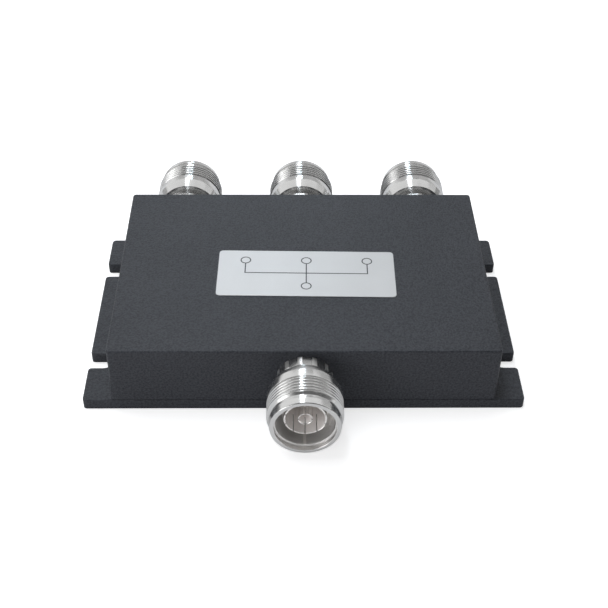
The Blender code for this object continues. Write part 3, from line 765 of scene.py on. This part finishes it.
def label_marks_mesh():
    """A plain diagram: a port at the front, a line that branches, and three ports at the back."""
    shape = bmesh.new()
    ring_outline = [
        (MARK_PORT_RADIUS - MARK_STROKE, 0),
        (MARK_PORT_RADIUS, 0),
        (MARK_PORT_RADIUS, MARK_HEIGHT),
        (MARK_PORT_RADIUS - MARK_STROKE, MARK_HEIGHT),
    ]
    ports = ((0, -MARK_REACH), (-MARK_SPREAD, MARK_REACH), (0, MARK_REACH), (MARK_SPREAD, MARK_REACH))
    for x, y in ports:
        ring = turned("mark_port", ring_outline, SCREW_STEPS)
        ring.transform(Matrix.Translation((x, y, 0)))
        shape.from_mesh(ring)
    line_length = MARK_REACH - MARK_PORT_RADIUS
    upright = (MARK_STROKE, line_length, MARK_HEIGHT)
    crossbar = (2 * MARK_SPREAD + MARK_STROKE, MARK_STROKE, MARK_HEIGHT)
    places = [(upright, (x, line_length / 2)) for x in (-MARK_SPREAD, 0, MARK_SPREAD)]
    places.append((upright, (0, -line_length / 2)))
    places.append((crossbar, (0, 0)))
    strokes = [(size, Matrix.Translation((x, y, MARK_HEIGHT / 2))) for size, (x, y) in places]
    shape.from_mesh(box_mesh("mark_lines", strokes))
    return mesh_from("label_marks", shape)


def build_label():
    """The film, and the printed marks on it, turned as the label is."""
    smooth_copy("label", "silver_label", film_finish())
    middle = (LABEL_LOW + LABEL_HIGH) / 2
    place = Matrix.Translation((middle.x, middle.y, LABEL_HIGH.z)) @ Matrix.Rotation(LABEL_TURN, 4, "Z")
    marks = label_marks_mesh()
    marks.transform(place)
    new_piece("label_marks", marks, ink_finish(), Matrix.Identity(4))


def screw_mesh():
    """A countersunk screw with a hexagonal socket, head down."""
    neck = SCREW_LOW.z + SCREW_HEAD_RADIUS - SCREW_SHANK_RADIUS
    outline = [
        (0, SCREW_LOW.z),
        (SCREW_HEAD_RADIUS, SCREW_LOW.z),
        (SCREW_SHANK_RADIUS, neck),
        (SCREW_SHANK_RADIUS, SCREW_HIGH.z),
        (0, SCREW_HIGH.z),
    ]
    screw = turned("cover_screw", eased(outline, EDGE_BREAK), SCREW_STEPS, closed=False)
    key = prism_mesh(
        "key", SCREW_KEY_SIDES, SCREW_KEY_RADIUS, SCREW_LOW.z - CLEARANCE, SCREW_LOW.z + SCREW_KEY_DEPTH,
    )
    return shade(cut(screw, key))


def build_screws():
    """The cover screws, which share their mesh."""
    steel = steel_finish()
    screw = screw_mesh()
    for node in sorted(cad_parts):
        if node.startswith("cover_screw"):
            low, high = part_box(node)
            middle = (low + high) / 2
            place = Matrix.Translation((middle.x, middle.y, 0))
            new_piece(f"{node}_steel", screw, steel, place, node)


def dress_node(node, material):
    """Gives the node's own mesh the material."""
    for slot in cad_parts[node].material_slots:
        slot.material = material


def dress_inner_nodes(fluoroplastic, rubber, strip):
    """Finishes for the inner nodes that keep their own shape."""
    dress_node("stripline", strip)
    dress_node("cover_seal", rubber)
    for node in ("trunk_support", "left_arm_support", "right_arm_support"):
        dress_node(node, fluoroplastic)
    for port in PORTS:
        dress_node(f"{port}_panel_seal", rubber)


# Studio

FLOOR_SIZE = 6
FLOOR_GAP = 0.05 * MM
FLOOR_COLOUR = (0.86, 0.86, 0.87, 1)
FLOOR_LIFT = 0.58
FLOOR_MIRROR_SHARE = 0.09
FLOOR_NEAR = 0.12
FLOOR_FAR = 0.6
WORLD_LIGHT = 0.3
STRIP_DISTANCE = 1
STRIP_TILT = math.radians(-7.3)
CARD_STEPS = 16
COOL_WHITE = (0.9, 0.95, 1)
BLUISH_WHITE = (0.75, 0.9, 1)


def build_floor():
    """A white floor, lifted to the background's white, so that the shadow near the object shows and the
    floor's far edge doesn't."""
    finish = Finish("floor")
    sheet = finish.node("ShaderNodeBsdfDiffuse", {}, {"Color": FLOOR_COLOUR})
    far = finish.step(finish.from_axis(finish.place()), FLOOR_NEAR, FLOOR_FAR)
    glow = finish.mix(far, (FLOOR_LIFT, FLOOR_LIFT, FLOOR_LIFT, 1), WHITE)
    strength = finish.ray("Is Camera Ray") + finish.ray("Is Glossy Ray") * FLOOR_MIRROR_SHARE
    lift = finish.node("ShaderNodeEmission", {}, {"Color": glow, "Strength": strength})
    both = finish.node("ShaderNodeAddShader", {}, {0: sheet, 1: lift})
    white = finish.show(both, "ShaderNodeOutputMaterial")
    bpy.ops.mesh.primitive_plane_add(size=FLOOR_SIZE, location=(0, 0, PLATE_LOW.z - FLOOR_GAP))
    floor = bpy.context.object
    floor.name = "floor"
    floor.data.materials.append(white)


def build_world():
    """White behind the object and in its reflections, softer as a light on it."""
    studio = Finish("studio", bpy.data.worlds)
    seen = studio.ray("Is Camera Ray") + studio.ray("Is Glossy Ray") + studio.ray("Is Transmission Ray")
    strength = seen * (1 - WORLD_LIGHT) + WORLD_LIGHT
    background = studio.node("ShaderNodeBackground", {}, {"Strength": strength, "Color": WHITE})
    bpy.context.scene.world = studio.show(background, "ShaderNodeOutputWorld")


def aimed(elevation, azimuth, distance):
    """A place round the object and its turn towards it, from angles in degrees. Azimuth 0 is behind the
    object, and a positive one is to its right; the local Y axis runs upward."""
    up = math.radians(elevation)
    around = math.radians(azimuth)
    along = math.cos(up) * distance
    place = Matrix.Translation((along * math.sin(around), along * math.cos(around), math.sin(up) * distance))
    return place @ place.to_translation().to_track_quat("Z", "Y").to_matrix().to_4x4()


def add_softbox(name, place, width, height, radiance, colour=(1, 1, 1), mirrored=True):
    """A rectangular lamp that faces the object; its power follows from how bright it looks."""
    lamp = bpy.data.lights.new(name, "AREA")
    lamp.shape = "RECTANGLE"
    lamp.size = width
    lamp.size_y = height
    lamp.color = colour
    lamp.energy = radiance * math.pi * width * height
    box = bpy.data.objects.new(name, lamp)
    bpy.context.scene.collection.objects.link(box)
    box.matrix_world = place
    box.visible_camera = False
    box.visible_glossy = mirrored


def even_steps(ends):
    """Values from the first end to the last, in the card's steps."""
    first, last = ends
    return [first + (last - first) * step / CARD_STEPS for step in range(CARD_STEPS + 1)]


def add_card(name, azimuths, elevations, tone, distance=1.5):
    """A curved grey card round the object that only the shiny pieces see in their reflections."""
    finish = Finish(name)
    grey = finish.node("ShaderNodeEmission", {}, {"Color": (tone, tone, tone, 1), "Strength": 1})
    shape = bmesh.new()
    rows = []
    for elevation in even_steps(elevations):
        places = [aimed(elevation, azimuth, distance).to_translation() for azimuth in even_steps(azimuths)]
        rows.append([shape.verts.new(place) for place in places])
    for lower, upper in zip(rows, rows[1:]):
        for step in range(CARD_STEPS):
            shape.faces.new([lower[step], lower[step + 1], upper[step + 1], upper[step]])
    mesh = mesh_from(name, shape)
    mesh.materials.append(finish.show(grey, "ShaderNodeOutputMaterial"))
    card = bpy.data.objects.new(name, mesh)
    bpy.context.scene.collection.objects.link(card)
    card.visible_camera = False
    card.visible_diffuse = False
    card.visible_shadow = False


def build_lamps():
    """Two wide soft lamps that light the object, and three that also show in its reflections."""
    overhead = aimed(elevation=65, azimuth=-50, distance=1.2)
    add_softbox("overhead_softbox", overhead, width=1.2, height=1, radiance=1.55, mirrored=False)
    above = Matrix.Rotation(STRIP_TILT, 4, "Y") @ aimed(elevation=70, azimuth=-3.8, distance=STRIP_DISTANCE)
    add_softbox("overhead_strip", above, width=0.125, height=1.15, radiance=5.5, colour=COOL_WHITE)
    behind = aimed(elevation=32, azimuth=-1.8, distance=STRIP_DISTANCE)
    add_softbox("rear_strip", behind, width=0.1, height=0.28, radiance=8, colour=BLUISH_WHITE)
    front_left = aimed(elevation=18, azimuth=-135, distance=0.6)
    add_softbox("front_left_softbox", front_left, width=0.45, height=0.24, radiance=1.6)
    front = aimed(elevation=14, azimuth=-155, distance=1.3)
    add_softbox("front_fill", front, width=1.6, height=0.5, radiance=1.6, mirrored=False)


def build_cards():
    """Grey and dark cards that give the plated pieces their darker parts."""
    add_card("rear_card", azimuths=(-28, 70), elevations=(9, 37), tone=0.5)
    add_card("camera_card", azimuths=(95, 215), elevations=(8, 74), tone=0.15)
    add_card("left_camera_card", azimuths=(215, 262), elevations=(24, 74), tone=0.26)
    add_card("left_card", azimuths=(262, 300), elevations=(0, 15), tone=0.4, distance=0.4)
    add_card("right_card", azimuths=(62, 95), elevations=(0, 15), tone=0.16, distance=0.4)
    add_card("rear_right_card", azimuths=(4, 24), elevations=(39, 46), tone=0.05)


def build_camera():
    """The camera: turned, tipped and rolled from a level view towards +Y."""
    camera = bpy.data.cameras.new("camera")
    camera.lens = CAMERA_LENS
    camera.sensor_width = CAMERA_SENSOR
    camera.clip_start = CAMERA_NEAR
    obj = bpy.data.objects.new("camera", camera)
    bpy.context.scene.collection.objects.link(obj)
    turn = Matrix.Rotation(-CAMERA_YAW, 4, "Z")
    tip = Matrix.Rotation(math.pi / 2 - CAMERA_PITCH, 4, "X")
    roll = Matrix.Rotation(CAMERA_ROLL, 4, "Z")
    obj.matrix_world = Matrix.Translation(CAMERA_PLACE) @ turn @ tip @ roll
    bpy.context.scene.camera = obj


def build():
    paint = paint_finish()
    fluoroplastic = bead_finish()
    spring_silver = contact_finish("spring_silver", SLEEVE_BORE, SLEEVE_BORE + SLEEVE_WALL)
    socket_silver = contact_finish("socket_silver", SOCKET_BORE, SOCKET_RADIUS)
    build_jacks(plating_finish(), spring_silver, socket_silver, fluoroplastic)
    smooth_copy("housing", "painted_housing", paint)
    smooth_copy("base_plate", "painted_plate", paint)
    build_label()
    build_screws()
    dress_inner_nodes(fluoroplastic, rubber_finish(), strip_finish())
    build_floor()
    build_world()
    build_lamps()
    build_cards()
    build_camera()
    bpy.context.scene.view_settings.view_transform = "Standard"


build()
